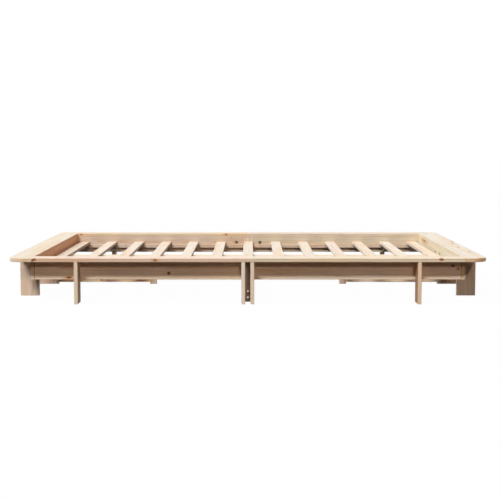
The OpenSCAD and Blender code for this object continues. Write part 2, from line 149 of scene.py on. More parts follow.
# How far the rings sway in metres, over a long stretch of a board and over a short one
SLOW_SWAY, QUICK_SWAY = 0.026, 0.0022
# How many waves of uneven growth a metre of radius has, and by how many rings they shift the rings
GROWTH_WAVES, GROWTH_SHIFT = 60.0, 3.0
# Width of a year's ring, before its growth is made uneven
RING_WIDTH = 3.2 * MM


def knot_group():
    """A branch in the board, round a line and nearly seven times longer than wide. The grain bends
    round it, and resin colours it, by a bell curve of the distance to that line. Deep is 0 at its
    bark and 1 in its middle."""
    tree, given, out = group(
        "knot",
        [("Place", "v"), ("Bent", "v"), ("Deep", "f"), ("Halo", "f"), ("Middle", "v"), ("Line", "v"),
         ("Radius", "f"), ("Stretch", "f"), ("Glow", "f")],
        [("Bent", "v"), ("Deep", "f"), ("Halo", "f")],
    )
    away = vec(tree, "SUBTRACT", given["Place"], given["Middle"])
    along_line = calc(tree, "MULTIPLY", vec(tree, "DOT_PRODUCT", away, given["Line"]), KNOT_LENGTHENING)
    flat = vec(tree, "SUBTRACT", away, vec(tree, "SCALE", given["Line"], scale=along_line))
    x, y, z = split(tree, flat)
    near = vec(tree, "LENGTH", join(tree, calc(tree, "DIVIDE", x, given["Stretch"]), y, z))
    spread = calc(tree, "POWER", calc(tree, "DIVIDE", near, given["Glow"]), 2.0)
    bell = calc(tree, "EXPONENT", calc(tree, "MULTIPLY", spread, -1.0))
    push = vec(tree, "SCALE", join(tree, 0.0, y, z), scale=calc(tree, "MULTIPLY", bell, KNOT_PUSH))
    deep = calc(tree, "SUBTRACT", 1.0, calc(tree, "DIVIDE", near, given["Radius"]))
    tree.links.new(vec(tree, "SUBTRACT", given["Bent"], push), out["Bent"])
    tree.links.new(calc(tree, "MAXIMUM", given["Deep"], deep), out["Deep"])
    tree.links.new(calc(tree, "MAXIMUM", given["Halo"], bell), out["Halo"])
    return tree


def late_wood(tree, given, grain):
    """How much late wood a point has, and its distance from the heart line, which leans and sways.
    In each ring it grows smoothly to a late line and drops back. Rings vary in width and strength,
    and end grain shows them more."""
    slow = vec(tree, "SUBTRACT", grain(1.3, 9.0, 1.0, colour=True), MID_GREY)
    quick = vec(tree, "SUBTRACT", grain(6.0, 60.0, 2.0, colour=True), MID_GREY)
    along = split(tree, given["Place"])[0]
    heart = vec(tree, "ADD", given["Heart"], vec(tree, "SCALE", given["Lean"], scale=along))
    from_heart = vec(tree, "SUBTRACT", given["Bent"], heart)
    from_heart = vec(tree, "ADD", from_heart, vec(tree, "SCALE", slow, scale=SLOW_SWAY))
    from_heart = vec(tree, "ADD", from_heart, vec(tree, "SCALE", quick, scale=QUICK_SWAY))
    radius = vec(tree, "LENGTH", vec(tree, "MULTIPLY", from_heart, (0.0, 1.0, 1.0)))

    growth = calc(tree, "ADD", calc(tree, "MULTIPLY", radius, GROWTH_WAVES), given["Seed"])
    uneven = add(
        tree, "ShaderNodeTexNoise", {"W": growth, "Scale": 1.0, "Detail": 1.0}, noise_dimensions="1D",
    ).outputs["Fac"]
    rings = calc(tree, "DIVIDE", radius, RING_WIDTH)
    turn = calc(tree, "ADD", rings, calc(tree, "MULTIPLY", uneven, GROWTH_SHIFT))
    part = calc(tree, "FRACT", turn)
    late = calc(tree, "MULTIPLY", ramp(tree, part, 0.25, 0.88), ramp(tree, part, 0.92, 1.0, 1.0, 0.0))
    number = calc(tree, "ADD", calc(tree, "FLOOR", turn), given["Seed"])
    year = add(tree, "ShaderNodeTexWhiteNoise", {"W": number}, noise_dimensions="1D").outputs["Value"]
    late = calc(tree, "MULTIPLY", late, ramp(tree, year, 0.0, 1.0, 0.35, 1.0))
    return calc(tree, "MULTIPLY", late, ramp(tree, given["End"], 0.4, 0.9, 0.85, 1.0)), radius


def knot_wood(tree, wood, given, grain):
    """Adds the knots' own colours: a resin halo, then bark, then rings of their own and a mottle."""
    wood = mix(tree, ramp(tree, given["Halo"], 0.25, 0.95, 0.0, 0.62), wood, RESIN)
    rings = calc(tree, "SINE", calc(tree, "MULTIPLY", given["Deep"], KNOT_RINGS))
    inside = mix(tree, ramp(tree, rings, -1.0, 1.0), KNOT_DARK, KNOT_LIGHT)
    inside = mix(tree, ramp(tree, given["Deep"], 0.02, 0.3, 0.85, 0.0), inside, KNOT_BARK)
    mottle = ramp(tree, grain(60.0, 300.0, 3.0), 0.3, 0.7, 0.65, 1.4)
    inside = mix(tree, 1.0, inside, join(tree, mottle, mottle, mottle), "MULTIPLY")
    return mix(tree, ramp(tree, given["Deep"], 0.0, 0.09), wood, inside)


def pine_group():
    """Pine as a solid: pale early wood and darker late wood, streaks and fibres along the board, and
    colours of its own for the heart, the end grain, the eased edges and the knots."""
    tree, given, out = group(
        "pine",
        [("Place", "v"), ("Bent", "v"), ("Heart", "v"), ("Lean", "v"), ("Seed", "f"), ("Early", "c"),
         ("Late", "c"), ("Deep", "f"), ("Halo", "f"), ("End", "f"), ("Arris", "f"), ("Side", "c")],
        [("Color", "c"), ("Roughness", "f"), ("Height", "f")],
    )
    shift = vec(tree, "SCALE", (3.17, 5.31, 9.73), scale=given["Seed"])
    place = vec(tree, "ADD", given["Place"], shift)

    def grain(along, across, detail, colour=False):
        """Noise with this many waves a metre along the board and across it."""
        scaled = vec(tree, "MULTIPLY", place, (along, across, across))
        return noise(tree, scaled, detail, colour=colour)

    late, radius = late_wood(tree, given, grain)
    streak = grain(3.2, 150.0, 2.0)
    fibre = grain(26.0, 1500.0, 2.0)
    patch = grain(1.6, 13.0, 1.0)

    wood = mix(tree, late, given["Early"], given["Late"])
    wood = mix(tree, ramp(tree, patch, 0.38, 0.72, 0.0, 0.75), wood, WARM_PATCH, "MULTIPLY")
    streaks = ramp(tree, streak, 0.3, 0.7, -0.055, 0.045)
    fibres = ramp(tree, fibre, 0.25, 0.75, -0.05, 0.04)
    shade = calc(tree, "ADD", calc(tree, "ADD", streaks, fibres), 1.0)
    wood = mix(tree, 1.0, wood, join(tree, shade, shade, shade), "MULTIPLY")
    wood = mix(tree, ramp(tree, radius, 8 * MM, 30 * MM, 0.55, 0.0), wood, HEART_WOOD, "MULTIPLY")
    wood = mix(tree, 1.0, wood, given["Side"], "MULTIPLY")
    wood = mix(tree, ramp(tree, given["End"], 0.5, 0.95), wood, END_GRAIN, "MULTIPLY")
    wood = mix(tree, ramp(tree, given["Arris"], 0.05, 0.25), wood, EASED_EDGE, "MULTIPLY")
    tree.links.new(knot_wood(tree, wood, given, grain), out["Color"])

    rough = calc(tree, "ADD", 0.60, ramp(tree, fibre, 0.2, 0.8, -0.06, 0.06))
    rough = calc(tree, "SUBTRACT", rough, calc(tree, "MULTIPLY", late, 0.08))
    rough = calc(tree, "SUBTRACT", rough, ramp(tree, given["Deep"], 0.0, 0.15, 0.0, 0.2))
    tree.links.new(rough, out["Roughness"])
    high = calc(tree, "ADD", calc(tree, "MULTIPLY", late, 0.7), calc(tree, "MULTIPLY", fibre, 0.5))
    tree.links.new(high, out["Height"])
    return tree


KNOT = knot_group()
PINE = pine_group()

# Finished colours of the planed boards, as they look in white light. Two also hold painted light
# and shade: a dark tone for the post between the front twin legs, and a pale one for the right
# front corner leg
TONES = {
    "cream": (0.860, 0.735, 0.620),
    "far_cream": (0.800, 0.695, 0.590),
    "pale": (0.860, 0.745, 0.612),
    "twin": (0.860, 0.760, 0.660),
    "leg": (0.810, 0.690, 0.550),
    "straw": (0.935, 0.830, 0.675),
    "tan": (0.940, 0.790, 0.620),
    "front": (0.935, 0.765, 0.595),
    # Painted shade for the post recessed between the front twin legs
    "dull": (0.600, 0.508, 0.413),
    "deep": (0.470, 0.395, 0.320),
    "batten": (0.660, 0.580, 0.480),
    "rail": (0.900, 0.690, 0.500),
    "foot": (0.690, 0.540, 0.400),
    "brown": (0.800, 0.645, 0.500),
    "red_brown": (0.780, 0.570, 0.400),
    # Painted light for the right front corner leg, which stands in the rim's shadow
    "painted_light_brown": (0.950, 0.830, 0.690),
    "honey": (0.800, 0.610, 0.400),
}
# Colours multiplied into some faces of a board. Most are painted light and painted shade: paler on
# faces turned to the lamps, and darker, often redder, on faces turned away from them or lying in shade
TINTS = {
    # Partly the rim edges' own browner tone and partly painted shade on these upright faces
    "edge": (0.80, 0.755, 0.68),
    # Painted light on the right end rim's inner edge, which faces the lamps
    "soft": (1.06, 1.07, 0.98),
    # Painted shade, reddened as by light thrown between the boards, on faces turned away from the lamps
    "red_painted_shade": (0.87, 0.51, 0.365),
    # Painted warm shade on the side legs' sides that face away from the lamps
    "warm_painted_shade": (1.12, 0.95, 0.80),
    # Painted shade on the side legs' sides that face the lamps but lie under the rim
    "brown_painted_shade": (0.82, 0.59, 0.45),
    # Browner front and back ends of the right end rim
    "browner_ends": (0.95, 0.84, 0.76),
    # Painted light on faces turned to the lamps
    "light": (1.04, 1.10, 1.18),
    # Painted shade on faces turned away from the lamps
    "shade": (0.72, 0.64, 0.60),
    # Painted shade on faces that point in under the bed
    "inner": (0.70, 0.67, 0.63),
}
# Early wood has these multiples of a tone's red, green and blue, up to the palest value, and late
# wood loses these shares of them
EARLY_GAIN = np.array((1.055, 1.085, 1.13))
LATE_LOSS = np.array((0.15, 0.28, 0.43))
PALEST = 0.955
# Waves a metre of the ripple that roughens a knot's outline, and its height in metres
RIPPLE_WAVES, RIPPLE = 130.0, 0.004


def knotted(tree, place, middle, order, seed, knots):
    """Runs a board's place through its knots, one after the other. Answers where the grain is bent
    to, how deep the point is in a knot, and how strong the resin round it is."""
    moved = vec(tree, "SCALE", vec(tree, "ADD", place, (seed, 0.0, 0.0)), scale=RIPPLE_WAVES)
    ripple = vec(tree, "SUBTRACT", noise(tree, moved, 1.0, colour=True), MID_GREY)
    ragged = vec(tree, "ADD", place, vec(tree, "SCALE", ripple, scale=RIPPLE))
    state = {"Bent": place, "Deep": 0.0, "Halo": 0.0}
    for point, line, radius, stretch, glow in knots:
        values = {
            "Place": ragged, **state, "Middle": tuple(point[i] - middle[i] for i in order),
            "Line": tuple(float(AXES[i] == line) for i in order),
            "Radius": radius * MM, "Stretch": stretch, "Glow": glow * MM,
        }
        made = add(tree, "ShaderNodeGroup", values, node_tree=KNOT)
        state = {key: made.outputs[key] for key in state}
    return state


def side_colour(tree, normal, turned, tints, spot, seam):
    """What is multiplied into the wood: white, a tint on each face that has one, most of them painted
    light and painted shade, and a dark line where the board's edge shows a joint."""
    side = WHITE
    for way, name in tints:
        axis = AXES.index(way[-1])
        faced = turned[axis]
        if len(way) == 2:
            sign = 1.0 if way[0] == "+" else -1.0
            faced = calc(tree, "MULTIPLY", split(tree, normal)[axis], sign)
        side = mix(tree, ramp(tree, faced, 0.5, 0.95), side, (*TINTS[name], 1.0))
    if seam is not None:
        gap = calc(tree, "ABSOLUTE", calc(tree, "SUBTRACT", split(tree, spot)[0], seam))
        side = mix(tree, ramp(tree, gap, 0.8 * MM, 2.6 * MM, 1.0, 0.0), side, JOINT_LINE)
    return side


def pine(node, run, tone, seed, tints=(), vary=1.0, figure=1.0, seam=None, knots=()):
    """Pine for one board. The grain runs along run, and the board's own coordinates are along it,
    across it and through it, from its middle. Each tint is an axis, with a sign for one side of it
    alone, and the name of its colour. A knot is a point in the bed, its line's axis, its radius in
    mm, how many times longer than wide it is, and how far its resin reaches in mm. Vary is how far
    the board may leave its tone, figure is how strongly the late wood shows, and a seam is a place
    along x where the board's edge looks dark at a joint."""
    low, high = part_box(node)
    middle = (low + high) / 2
    size = high - low
    first = AXES.index(run)
    rest = sorted((i for i in range(3) if i != first), key=lambda i: -size[i])
    order = [first, *rest]
    dice = np.random.default_rng(seed)
    behind = 1 if dice.random() < 0.5 else -1
    heart = (0.0, dice.uniform(-0.5, 0.5) * size[rest[0]], behind * dice.uniform(18, 70) * MM)
    lean = (0.0, dice.uniform(-0.012, 0.012), dice.uniform(-0.02, 0.02))
    swing = 0.05 * dice.uniform(-1, 1, 3) * (0.5, 0.8, 1.0) + 0.03 * dice.uniform(-1, 1)
    colour = np.array(TONES[tone]) * (1 + vary * swing)
    early = np.minimum(colour * EARLY_GAIN, PALEST)
    late = colour * (1 - figure * LATE_LOSS)

    material, tree = empty_material("pine_" + node)
    spot = add(tree, "ShaderNodeTexCoord").outputs["Object"]
    parts = split(tree, vec(tree, "SUBTRACT", spot, tuple(middle)))
    place = join(tree, *(parts[i] for i in order))
    normal = add(tree, "ShaderNodeNewGeometry").outputs["True Normal"]
    turned = split(tree, vec(tree, "ABSOLUTE", normal))
    biggest = calc(tree, "MAXIMUM", calc(tree, "MAXIMUM", turned[0], turned[1]), turned[2])
    values = {
        "Place": place, **knotted(tree, place, middle, order, seed, knots), "Heart": heart, "Lean": lean,
        "Seed": float(seed), "Early": (*early, 1.0), "Late": (*late, 1.0), "End": turned[first],
        "Arris": calc(tree, "SUBTRACT", 1.0, biggest),
        "Side": side_colour(tree, normal, turned, tints, spot, seam),
    }
    wood = add(tree, "ShaderNodeGroup", values, node_tree=PINE).outputs
    relief = {"Height": wood["Height"], "Strength": 0.25, "Distance": 0.5 * MM}
    finish = {
        "Base Color": wood["Color"], "Roughness": wood["Roughness"], "Specular IOR Level": 0.12,
        "Normal": add(tree, "ShaderNodeBump", relief).outputs[0],
    }
    surface = add(tree, "ShaderNodeBsdfPrincipled", finish).outputs[0]
    add(tree, "ShaderNodeOutputMaterial", {"Surface": surface})
    return material


# Crystals a metre in the plating of the steel, and dull patches a metre
CRYSTALS, PATCHES = 900.0, 260.0


def steel(name, colour, rough, wear):
    """Zinc-plated steel: crystals of the plating as small cells, and a cloud of dull patches."""
    material, tree = empty_material(name)
    spot = add(tree, "ShaderNodeTexCoord").outputs["Object"]
    cells = add(tree, "ShaderNodeTexVoronoi", {"Vector": spot, "Scale": CRYSTALS}).outputs["Distance"]
    cloud = noise(tree, vec(tree, "SCALE", spot, scale=PATCHES), 4.0, 0.6)
    shade = ramp(tree, calc(tree, "ADD", cells, cloud), 0.4, 1.3, 1.0 - wear, 1.0)
    relief = {"Height": cloud, "Strength": 0.2, "Distance": 0.1 * MM}
    finish = {
        "Base Color": mix(tree, 1.0, (*colour, 1.0), join(tree, shade, shade, shade), "MULTIPLY"),
        "Metallic": 1.0,
        "Roughness": ramp(tree, cloud, 0.3, 0.7, rough - 0.07, rough + 0.1),
        "Normal": add(tree, "ShaderNodeBump", relief).outputs[0],
    }
    surface = add(tree, "ShaderNodeBsdfPrincipled", finish).outputs[0]
    add(tree, "ShaderNodeOutputMaterial", {"Surface": surface})
    return material


def dress(node, material):
    """Gives a CAD node its finish through its own slots."""
    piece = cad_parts[node]
    piece.data.materials.clear()
    piece.data.materials.append(material)


# Faces on which knots show, in metres
RIM_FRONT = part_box("rim_front_left")[0][1]
RIM_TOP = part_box("rim_front_left")[1][2]
PANEL_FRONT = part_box("panel_front_left")[0][1]
WELL_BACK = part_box("panel_back_left")[0][1]
WELL_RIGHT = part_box("panel_right_end")[0][0]
RAIL_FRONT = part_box("low_rail_left")[0][1]
# Place along x of the dark line where a front panel meets the end panel
SEAM = WELL_RIGHT - 0.5 * MM
# Tints of the rim's edges, partly painted shade, and the painted light and painted shade on the
# sides of the side legs and of the slats
EDGE_TINTS = (("y", "edge"),)
LEG_TINTS = (("+x", "warm_painted_shade"), ("-x", "brown_painted_shade"))
SLAT_TINTS = (("-x", "light"), ("+x", "shade"))

# Each board: grain, tone, seed, and what it needs of its own
BOARDS = {
    "rim_front_left": dict(run="x", tone="cream", figure=0.7, tints=EDGE_TINTS, seed=11, knots=[
        ((-0.429, RIM_FRONT, 0.205), "y", 4.5, 2.2, 12), ((-0.989, RIM_FRONT, 0.2085), "y", 5.5, 1.7, 10),
        ((-0.997, RIM_FRONT, 0.203), "y", 4, 1.5, 8)]),
    "rim_front_right": dict(run="x", tone="cream", figure=0.7, tints=EDGE_TINTS, seed=12, knots=[
        ((0.896, RIM_FRONT, 0.2085), "y", 6, 1.9, 9)]),
    "rim_back_left": dict(run="x", tone="far_cream", figure=0.7, tints=EDGE_TINTS, seed=13, knots=[
        ((-0.131, WELL_BACK, 0.207), "y", 3.5, 2.2, 10), ((-0.985, WELL_BACK, 0.2075), "y", 3.5, 1.8, 9)]),
    "rim_back_right": dict(run="x", tone="far_cream", figure=0.7, tints=EDGE_TINTS, seed=14),
    # Painted shade on the inner face of the left end rim
    "rim_left_end": dict(run="y", tone="cream", figure=0.7, tints=(("+x", "red_painted_shade"),), seed=15, knots=[
        ((-1.091, -0.489, RIM_TOP), "z", 2, 2.0, 6), ((-1.1045, 0.037, RIM_TOP), "z", 2, 2.0, 6),
        ((-1.024, 0.167, RIM_TOP), "z", 2, 2.0, 6)]),
    # Painted light on this rim's inner edge; its front and back ends are browner
    "rim_right_end": dict(
        run="y", tone="cream", figure=0.7, tints=(("-x", "soft"), ("y", "browner_ends")), seed=16, knots=[
            ((1.085, RIM_FRONT, 0.206), "z", 3, 1.5, 24), ((1.076, -0.224, RIM_TOP), "z", 3, 9.0, 7),
            ((1.015, -0.125, RIM_TOP), "z", 3, 3.0, 7), ((1.085, -0.481, RIM_TOP), "z", 2.5, 6.0, 9),
            ((1.105, 0.138, RIM_TOP), "z", 4, 9.0, 8), ((1.085, 0.004, RIM_TOP), "z", 3.5, 9.0, 8)]),
    "panel_front_left": dict(run="x", tone="front", vary=0.4, seam=-SEAM, seed=21, knots=[
        ((-0.372, PANEL_FRONT, 0.135), "y", 6.5, 1.3, 10), ((-0.842, PANEL_FRONT, 0.115), "y", 5, 2.6, 14)]),
    "panel_front_right": dict(run="x", tone="front", vary=0.4, seam=SEAM, seed=22, knots=[
        ((0.965, PANEL_FRONT, 0.170), "y", 5, 1.4, 9), ((0.990, PANEL_FRONT, 0.156), "y", 4, 1.4, 9)]),
    "panel_back_left": dict(run="x", tone="dull", seed=23, knots=[
        ((-0.95, WELL_BACK, 0.158), "y", 3, 1.6, 16), ((-0.1015, WELL_BACK, 0.187), "y", 2.5, 1.4, 7)]),
    "panel_back_right": dict(run="x", tone="dull", seed=24),
    # Painted shade on the end panel's inner face, and painted light on its front end
    "panel_left_end": dict(run="y", tone="tan", tints=(("+x", "red_painted_shade"), ("-y", "light")), seed=25),
    "panel_right_end": dict(run="y", tone="straw", seed=26, knots=[
        ((WELL_RIGHT, 0.486, 0.190), "x", 5.5, 6.0, 28), ((WELL_RIGHT, 0.070, 0.165), "x", 5, 3.0, 9),
        ((WELL_RIGHT, -0.072, 0.167), "x", 5, 3.0, 9)]),
    # Painted shade: this post stands recessed between the front twin legs
    "post_front": dict(run="z", tone="deep", seed=31),
    "post_back": dict(run="z", tone="dull", seed=32),
    "post_left_end": dict(run="z", tone="tan", seed=33),
    "post_right_end": dict(run="z", tone="tan", seed=34),
    "batten_front": dict(run="x", tone="batten", seed=81),
    "batten_back": dict(run="x", tone="batten", seed=82),
    "plank_left": dict(run="x", tone="pale", seed=83),
    "plank_right": dict(run="x", tone="pale", seed=84),
    "beam_left": dict(run="x", tone="tan", seed=41),
    "beam_right": dict(run="x", tone="tan", seed=42),
    "centre_leg_left": dict(run="z", tone="foot", seed=43),
    "centre_leg_right": dict(run="z", tone="foot", seed=44),
    "low_rail_left": dict(run="x", tone="rail", seed=45, knots=[
        ((-0.778, RAIL_FRONT, 0.022), "y", 5, 1.4, 8), ((-0.564, RAIL_FRONT, 0.020), "y", 3, 10.0, 5)]),
    "low_rail_right": dict(run="x", tone="rail", seed=46, knots=[
        ((0.714, RAIL_FRONT, 0.030), "y", 3, 11.0, 6)]),
    "cross_rail": dict(run="y", tone="tan", seed=47),
}
CORNERS = [(depth, side) for depth in ("front", "back") for side in ("left", "right")]
for count, (depth, side) in enumerate(CORNERS):
    corner = depth + "_" + side
    # Painted shade on each twin leg's face that points in under the bed
    inward = (("+y" if depth == "front" else "-y", "inner"),)
    BOARDS["side_leg_" + corner] = dict(run="z", tone="leg", tints=LEG_TINTS, seed=51 + count)
    BOARDS["end_leg_" + corner] = dict(run="z", tone="brown", figure=0.8, seed=61 + count)
    BOARDS["twin_leg_" + corner] = dict(run="z", tone="twin", tints=inward, vary=0.4, seed=71 + count)
for count, side in enumerate(("left", "right")):
    BOARDS["end_leg_middle_" + side] = dict(run="z", tone="red_brown", seed=91 + count)
SLATS = ["slat_%02d" % number for number in range(1, 14)]
for count, slat in enumerate(SLATS):
    BOARDS[slat] = dict(run="y", tone="pale", tints=SLAT_TINTS, vary=0.2, figure=0.55, seed=101 + count)
# Painted light: the right front corner leg, in the rim's shadow, gets a paler tone
BOARDS["end_leg_front_right"].update(tone="painted_light_brown", figure=0.5)
for name, choice in BOARDS.items():
    dress(name, pine(name, **choice))
dress("dowels", pine("dowels", "x", "honey", 201))

zinc = steel("zinc", (0.42, 0.41, 0.39), 0.42, 0.35)
# Painted shade: dark zinc for the bolts and studs that sit in shaded round pockets
shade_dark_zinc = steel("shade_dark_zinc", (0.17, 0.145, 0.12), 0.50, 0.35)
bright_zinc = steel("bright_zinc", (0.86, 0.83, 0.76), 0.22, 0.15)
yellow_zinc = steel("yellow_zinc", (0.52, 0.41, 0.28), 0.34, 0.2)
dress("barrel_nuts", zinc)

# The fasteners are grids of rings in mm, with this many points round each ring
AROUND = 24
# Threads in mm: pitch, radius of the core and of the crest, length of the point and what is left there
METRIC_THREAD = dict(pitch=1.0, core=2.55, crest=3.0, tip=1.0, point=0.84)
WOOD_THREAD = dict(pitch=2.0, core=1.45, crest=2.0, tip=4.5, point=0.06)
# How steeply a thread's ridge falls on both sides, as a share of its height for each pitch
RIDGE_FALL = 2.6
# Radii of a bolt's shank, of a hole round it, and of the corners of the hexagon in its head
SHANK, HOLE, SOCKET = 3.0, 3.1, 2.31
# Length of the bevels in a nut's hole and at the end of a shank
BEVEL = 0.4
# Radius of a nut's flat face, as a share of the nut's width
NUT_FACE = 0.475


def outline(quarter):
    """A closed curve round the middle: its first quarter, mirrored in both axes."""
    quarter = np.array(quarter, float)
    back = quarter[:0:-1]
    return np.concatenate([quarter[:-1], back * (-1, 1), -quarter[:-1], back * (1, -1)])


def cross(half_width, reach):
    """A plus sign whose four arms have one half width and one reach."""
    elbow = (half_width + reach) / 2
    arm = [(reach, 0), (reach, half_width), (elbow, half_width), (half_width, half_width)]
    return outline(arm + [(y, x) for x, y in arm[2::-1]])


def oblong(half_width, half_height):
    """A rectangle with two points between each corner and each middle of a side."""
    upright = [(half_width, half_height * k / 3) for k in range(4)]
    return outline(upright + [(half_width * k / 3, half_height) for k in (2, 1, 0)])


# The circle's points and the hexagon's corners are 1 from the middle
QUARTER_TURN = np.linspace(0.0, math.pi / 2, AROUND // 4 + 1)
CIRCLE = outline(np.stack([np.cos(QUARTER_TURN), np.sin(QUARTER_TURN)], -1))
HEXAGON_TOP = math.sqrt(0.75)
HEXAGON = outline(
    [(1 - k / 8, HEXAGON_TOP * k / 4) for k in range(5)] + [(0.25, HEXAGON_TOP), (0.0, HEXAGON_TOP)]
)


def rings_of(stations):
    """Rings in mm from pairs of a curve and its depth, which is one number or one for each point."""
    return np.stack([np.column_stack([curve, np.broadcast_to(depth, AROUND)]) for curve, depth in stations])


def thread(start, end, pitch, core, crest, tip, point):
    """Rings of a thread. The radius is the core's plus a ridge, which is highest where the depth in
    pitches is a half more than the turn round the axis, and falls evenly to nothing on both sides. It
    grows in over one pitch, and over the tip the whole radius shrinks evenly to a share of itself."""
    depth = np.arange(start, end + pitch / 8, pitch / 4)
    turn = np.arctan2(CIRCLE[:, 1], CIRCLE[:, 0]) / (2 * math.pi)
    phase = (depth[:, None] / pitch - turn) % 1.0
    ridge = np.clip(1.0 - np.abs(phase - 0.5) * RIDGE_FALL, 0.0, 1.0)
    ridge = ridge * np.clip((depth - start) / pitch, 0.0, 1.0)[:, None]
    radius = (core + (crest - core) * ridge) * np.interp(depth, [end - tip, end], [1.0, point])[:, None]
    level = np.broadcast_to(depth[:, None, None], (depth.size, AROUND, 1))
    return np.concatenate([radius[..., None] * CIRCLE, level], -1)


def quads(count, closed):
    """Faces between each ring and the next, and from the last to the first where it is closed."""
    ring, here = np.meshgrid(np.arange(count if closed else count - 1), np.arange(AROUND), indexing="ij")
    beside, after = (here + 1) % AROUND, (ring + 1) % count
    corners = [ring * AROUND + here, ring * AROUND + beside, after * AROUND + beside, after * AROUND + here]
    return np.stack(corners, -1).reshape(-1, 4)


def turned_part(rings, top):
    """A closed body round an axis: a fan from a pole at depth top, the rings, and a fan to the last
    ring's own middle."""
    count = len(rings)
    poles = [(0, 0, top), (0, 0, rings[-1, :, 2].mean())]
    here = np.arange(AROUND)
    beside = (here + 1) % AROUND
    pole = np.full(AROUND, count * AROUND)
    low = (count - 1) * AROUND
    near_fan = np.stack([pole, beside, here], -1)
    far_fan = np.stack([pole + 1, low + here, low + beside], -1)
    points = np.concatenate([rings.reshape(-1, 3), poles])
    return points, quads(count, False), np.concatenate([near_fan, far_fan])


def holed_part(rings):
    """A closed body with a hole through it: its rings go out on one side, back on the other, and
    through the hole."""
    return rings.reshape(-1, 3), quads(len(rings), True), np.zeros((0, 3), int)


def placed(part, places, dice):
    """Copies of a part. Each place is a point in mm and the way that the part's depth runs; turned
    parts also get a turn of their own about it where dice are given."""
    points, fours, threes = part
    spots = np.array([p for p, _ in places], float)
    way = np.array([w for _, w in places], float)
    first = np.where(np.abs(way[:, 1:2]) < 0.5, (0.0, 1.0, 0.0), (1.0, 0.0, 0.0))
    second = np.cross(way, first)
    angle = dice.uniform(0, 2 * math.pi, len(places)) if dice else np.zeros(len(places))
    c, s = np.cos(angle)[:, None], np.sin(angle)[:, None]
    axes = np.stack([c * first + s * second, c * second - s * first, way], -1)
    moved = np.einsum("kij,nj->kni", axes, points) + spots[:, None]
    shift = np.arange(len(places))[:, None, None] * len(points)
    return moved.reshape(-1, 3), (fours + shift).reshape(-1, 4), (threes + shift).reshape(-1, 3)


def hardware(name, node, material, *bodies):
    """Makes one piece from placed parts, in metres, and lets it stand for a CAD node."""
    sizes = np.cumsum([0] + [len(points) for points, _, _ in bodies])
    points = np.concatenate([body[0] for body in bodies]) * MM
    fours = np.concatenate([body[1] + shift for body, shift in zip(bodies, sizes)])
    threes = np.concatenate([body[2] + shift for body, shift in zip(bodies, sizes)])
    mesh = bpy.data.meshes.new(name)
    mesh.from_pydata(points.tolist(), [], fours.tolist() + threes.tolist())
    mesh.shade_smooth()
    mesh.set_sharp_from_angle(angle=math.radians(32))
    mesh.materials.append(material)
    piece = new_object(name, mesh)
    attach(piece, "root")
    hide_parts(node)


def wood_screw(length, smooth):
    """Countersunk screw: a cross recess that narrows as it goes down, a cone, a smooth neck down to
    the depth smooth, and a thread to a sharp point."""
    head = rings_of([
        (cross(0.34, 1.1), 1.7), (cross(0.55, 2.2), 0.0), (CIRCLE * 3.3, 0.0), (CIRCLE * 3.88, 0.0),
        (CIRCLE * 3.92, 0.07), (CIRCLE * 1.95, 2.0), (CIRCLE * 1.72, 2.6), (CIRCLE * 1.72, smooth - 0.5),
        (CIRCLE * WOOD_THREAD["core"], smooth - 0.1),
    ])
    return turned_part(np.concatenate([head, thread(smooth, length, **WOOD_THREAD)]), 1.9)


def shank(start, length, threaded):
    """The rings of a bolt past its head: a smooth shank, then a thread with a bevelled end."""
    end = start + length
    smooth = rings_of([(CIRCLE * SHANK, start), (CIRCLE * SHANK, end - threaded - BEVEL)])
    return np.concatenate([smooth, thread(end - threaded, end, **METRIC_THREAD)])


def dome_bolt(length, threaded):
    """Dome-headed bolt: a hexagon socket, and a head 3.5 mm high whose edge follows a quarter of an
    ellipse from its flat top to its base."""
    angles = np.linspace(0, math.pi / 2, 8)
    bulge = [(CIRCLE * (4.25 + 1.75 * math.sin(t)), -3.5 * math.cos(t)) for t in angles]
    socket = [(HEXAGON * SOCKET, -1.0), (HEXAGON * SOCKET, -3.35), (HEXAGON * 2.5, -3.5)]
    return turned_part(np.concatenate([rings_of(socket + bulge), shank(0.0, length, threaded)]), -1.0)


def cap_bolt(start, length, threaded):
    """Bolt with a round head, 10 mm across and 4 mm high, that ends at start and has a hexagon
    socket."""
    head = rings_of([
        (HEXAGON * SOCKET, start - 1.0), (HEXAGON * SOCKET, start - 3.85), (HEXAGON * 2.5, start - 4.0),
        (CIRCLE * 4.6, start - 4.0), (CIRCLE * 4.9, start - 3.85), (CIRCLE * 5.0, start - 3.5),
        (CIRCLE * 5.0, start - 0.2), (CIRCLE * 4.8, start),
    ])
    return turned_part(np.concatenate([head, shank(start, length, threaded)]), start - 1.0)


def threaded_rod(half):
    """Rod threaded over its whole length: the thread grows in at one end, and the other is bevelled."""
    return turned_part(thread(-half, half, **METRIC_THREAD), -half)


def half_moon(radius, flat, width):
    """Washer that fills one side of a round pocket: flat where the nut bears on it, and on the other
    side a part of a cylinder, so its depth is the root of the radius squared less the height
    squared. The bolt's hole runs through it."""
    hole = CIRCLE * HOLE
    edge = oblong(width / 2, math.sqrt(radius**2 - flat**2))
    back = [hole + (edge - hole) * share for share in np.linspace(1.0, 0.0, 5)]
    curved = [(curve, np.sqrt(radius**2 - curve[:, 1] ** 2)) for curve in back]
    face = [(hole, flat), (hole + (edge - hole) * 0.5, flat), (edge * 0.999, flat)]
    return holed_part(rings_of(face + curved))


